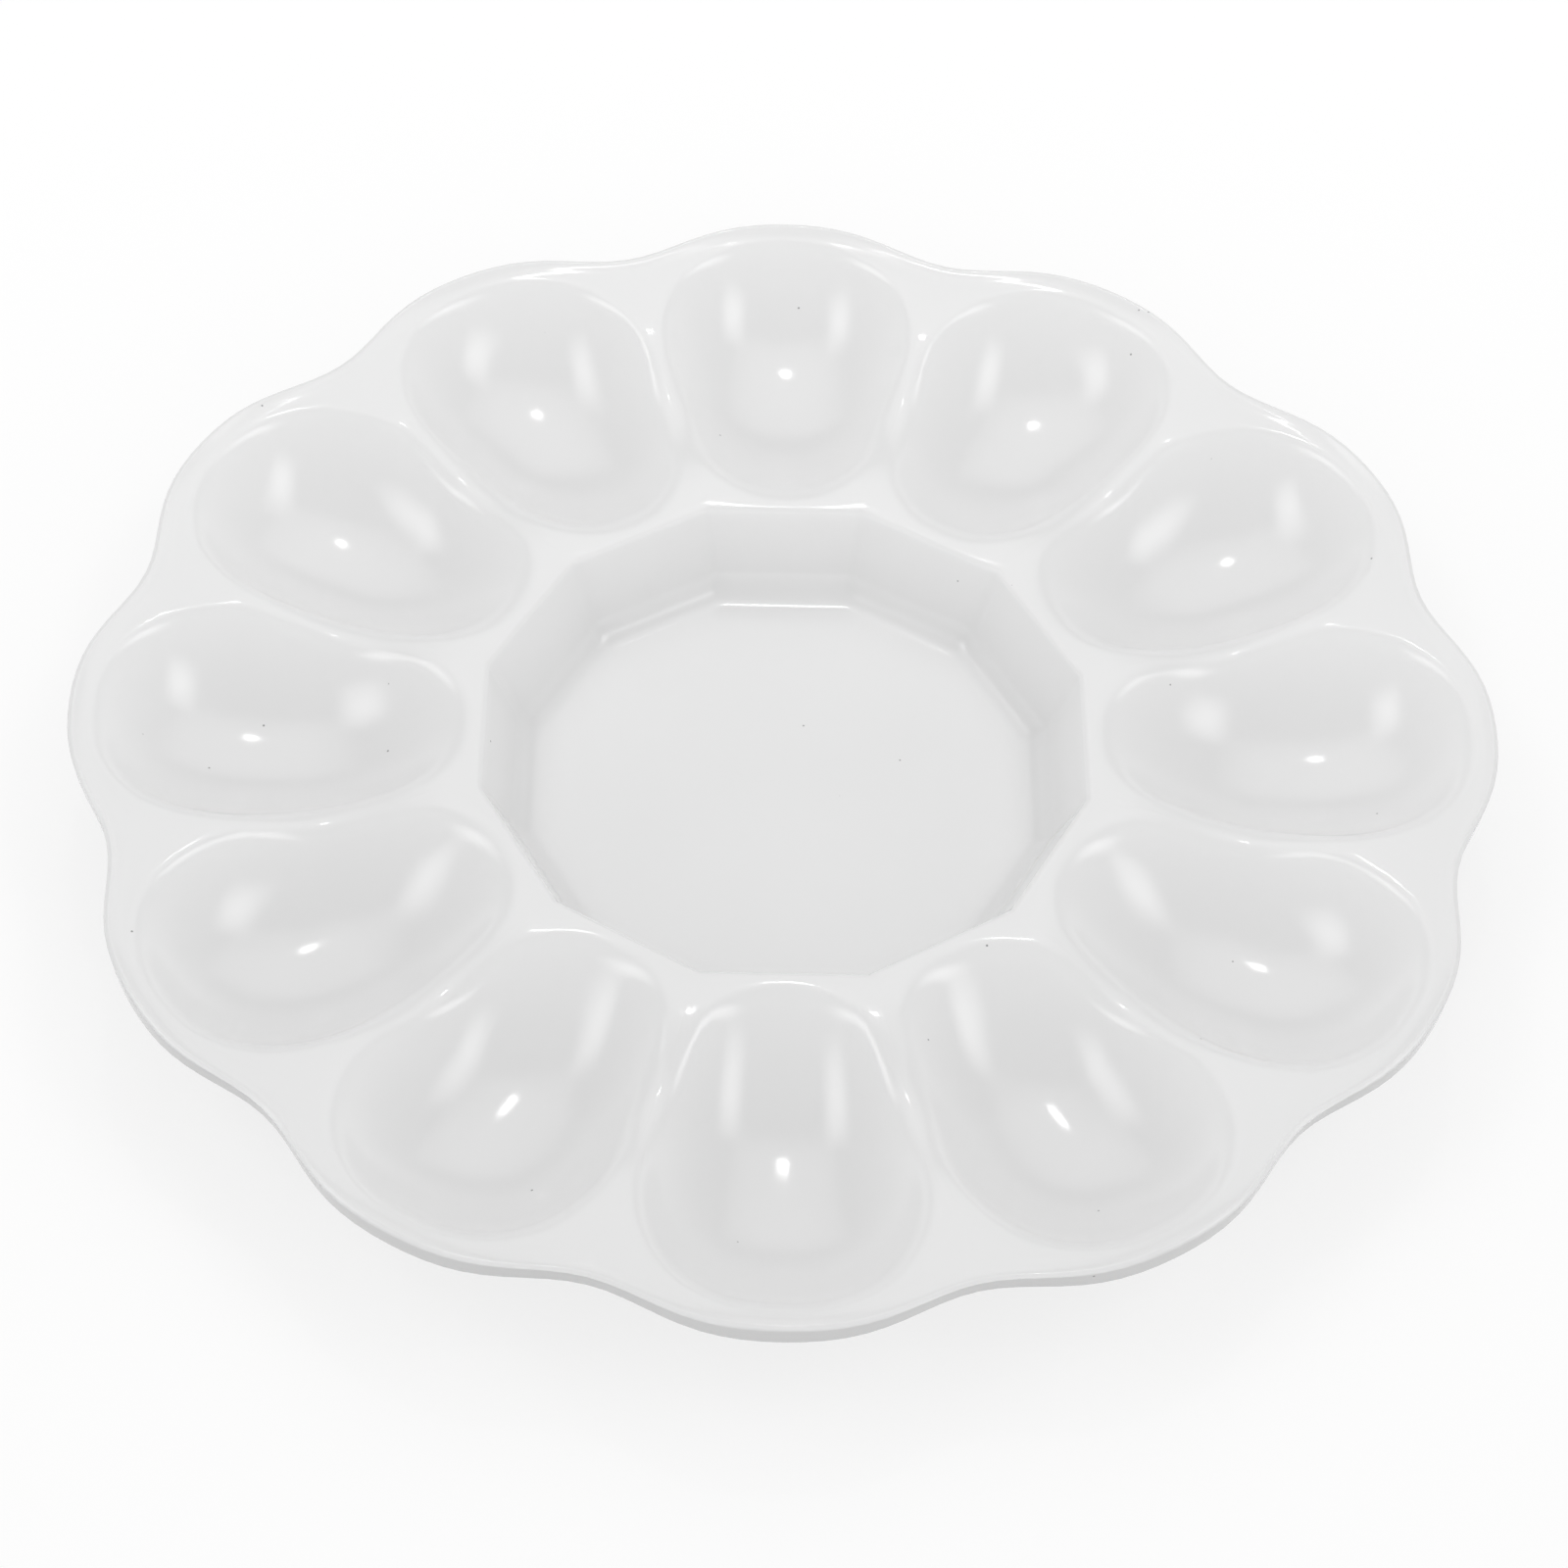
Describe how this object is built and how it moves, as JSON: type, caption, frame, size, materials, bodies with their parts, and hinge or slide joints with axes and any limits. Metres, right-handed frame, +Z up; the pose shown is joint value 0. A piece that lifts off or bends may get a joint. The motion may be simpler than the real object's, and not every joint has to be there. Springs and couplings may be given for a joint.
{
  "type": "deviled egg platter",
  "caption": "Round scalloped serving platter with a ring of egg-shaped cups round a faceted centre dish.",
  "frame": {"origin": "centre of the foot ring, on the table", "axes": "+Z up, +Y towards the cup at twelve o'clock, +X towards the cup at three o'clock"},
  "size_m": [0.2848, 0.2848, 0.0293],
  "materials": {
    "white_glaze": "white porcelain under a clear glossy glaze, smooth all over, the foot ring's standing face bare"
  },
  "bodies": {
    "root": {"deck": "white_glaze", "rim": "white_glaze", "dish_wall": "white_glaze", "dish_floor": "white_glaze", "foot_ring": "white_glaze", "egg_cup_01": "white_glaze", "egg_cup_02": "white_glaze", "egg_cup_03": "white_glaze", "egg_cup_04": "white_glaze", "egg_cup_05": "white_glaze", "egg_cup_06": "white_glaze", "egg_cup_07": "white_glaze", "egg_cup_08": "white_glaze", "egg_cup_09": "white_glaze", "egg_cup_10": "white_glaze", "egg_cup_11": "white_glaze", "egg_cup_12": "white_glaze"}
  },
  "joints": []
}
